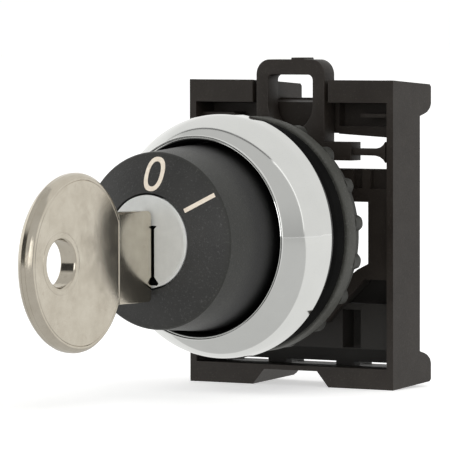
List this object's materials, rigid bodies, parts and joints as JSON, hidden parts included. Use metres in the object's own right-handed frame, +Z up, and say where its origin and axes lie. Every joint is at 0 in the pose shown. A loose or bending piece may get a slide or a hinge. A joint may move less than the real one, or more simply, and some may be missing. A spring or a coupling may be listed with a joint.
{
  "type": "selector key switch",
  "caption": "Key-operated selector switch for a round panel hole: chrome bezel, dark collar with 0 and I marks, key, ring nut and clip-on rear adapter with a pull-up release loop.",
  "frame": {"origin": "on the lock axis, in the plane where the bezel sits against the front of the panel", "axes": "+Y runs back through the panel, +X to the viewer's right, +Z up (towards the 0 mark)"},
  "size_m": [0.0302, 0.0665, 0.0412],
  "materials": {
    "nickel": "nickel plate, slightly worn, satin-bright",
    "plug_satin": "fine satin, cast zinc with matt chrome",
    "bezel_chrome": "bright chrome plate",
    "collar_plastic": "fine spark texture, dark grey",
    "mark_cream": "cream inlay",
    "adapter_plastic": "dark brown-black moulding, fine matt",
    "nut_plastic": "dark grey glass-filled moulding",
    "body_plastic": "black moulding",
    "seal_rubber": "black rubber",
    "zinc_casting": "as-cast zinc",
    "wafer_brass": "stamped brass",
    "spring_steel": "drawn spring wire",
    "plunger_acetal": "natural acetal"
  },
  "bodies": {
    "base": {"lock_housing": "zinc_casting", "front_collar": "collar_plastic", "mark_zero": "mark_cream", "mark_one": "mark_cream", "bezel_ring": "bezel_chrome", "collar_seal": "seal_rubber", "threaded_body": "body_plastic", "panel_gasket": "seal_rubber", "adapter_frame": "adapter_plastic", "plunger_spring_left": "spring_steel", "plunger_spring_right": "spring_steel", "latch_spring_left": "adapter_plastic", "latch_spring_right": "adapter_plastic"},
    "plug": {"lock_plug": "plug_satin", "plug_clip": "spring_steel", "cam_rotor": "plunger_acetal", "wafer_spring_1": "spring_steel", "wafer_spring_2": "spring_steel", "wafer_spring_3": "spring_steel", "wafer_spring_4": "spring_steel", "wafer_spring_5": "spring_steel"},
    "key_body": {"key": "nickel"},
    "wafer_set": {"wafer_1": "wafer_brass", "wafer_2": "wafer_brass", "wafer_3": "wafer_brass", "wafer_4": "wafer_brass", "wafer_5": "wafer_brass"},
    "nut": {"ring_nut": "nut_plastic"},
    "latch": {"release_latch": "adapter_plastic"},
    "pin_right": {"plunger_right": "plunger_acetal"},
    "pin_left": {"plunger_left": "plunger_acetal"}
  },
  "joints": [
    {"name": "plug_turn", "type": "hinge", "parent": "base", "child": "plug", "pos_m": [0, 0, 0], "axis": [0, 1, 0], "range_deg": [0, 60]},
    {"name": "key_slide", "type": "slide", "parent": "plug", "child": "key_body", "axis": [0, -1, 0], "range_m": [0, 0.024]},
    {"name": "wafer_drop", "type": "slide", "parent": "plug", "child": "wafer_set", "axis": [0, 0, -1], "range_m": [0, 0.00061], "deforming": ["wafer_spring_1", "wafer_spring_2", "wafer_spring_3", "wafer_spring_4", "wafer_spring_5"]},
    {"name": "nut_travel", "type": "slide", "parent": "base", "child": "nut", "axis": [0, 1, 0], "range_m": [0, 0.0042]},
    {"name": "latch_lift", "type": "slide", "parent": "base", "child": "latch", "axis": [0, 0, 1], "range_m": [0, 0.0018], "stiffness_N_per_m": 1500, "springref_m": -0.0004, "deforming": ["latch_spring_right", "latch_spring_left"]},
    {"name": "plunger_right_push", "type": "slide", "parent": "base", "child": "pin_right", "axis": [0, 1, 0], "range_m": [0, 0.00365], "deforming": ["plunger_spring_right"]},
    {"name": "plunger_left_push", "type": "slide", "parent": "base", "child": "pin_left", "axis": [0, 1, 0], "range_m": [0, 0.00365], "deforming": ["plunger_spring_left"]}
  ],
  "couplings": [
    {"joint": "wafer_drop", "follows": "key_slide", "ratio": 0.025},
    {"joint": "plunger_right_push", "follows": "plug_turn", "m_per_rad": 0.0034377},
    {"joint": "plunger_left_push", "follows": "plug_turn", "m_per_rad": 0.0034377}
  ]
}
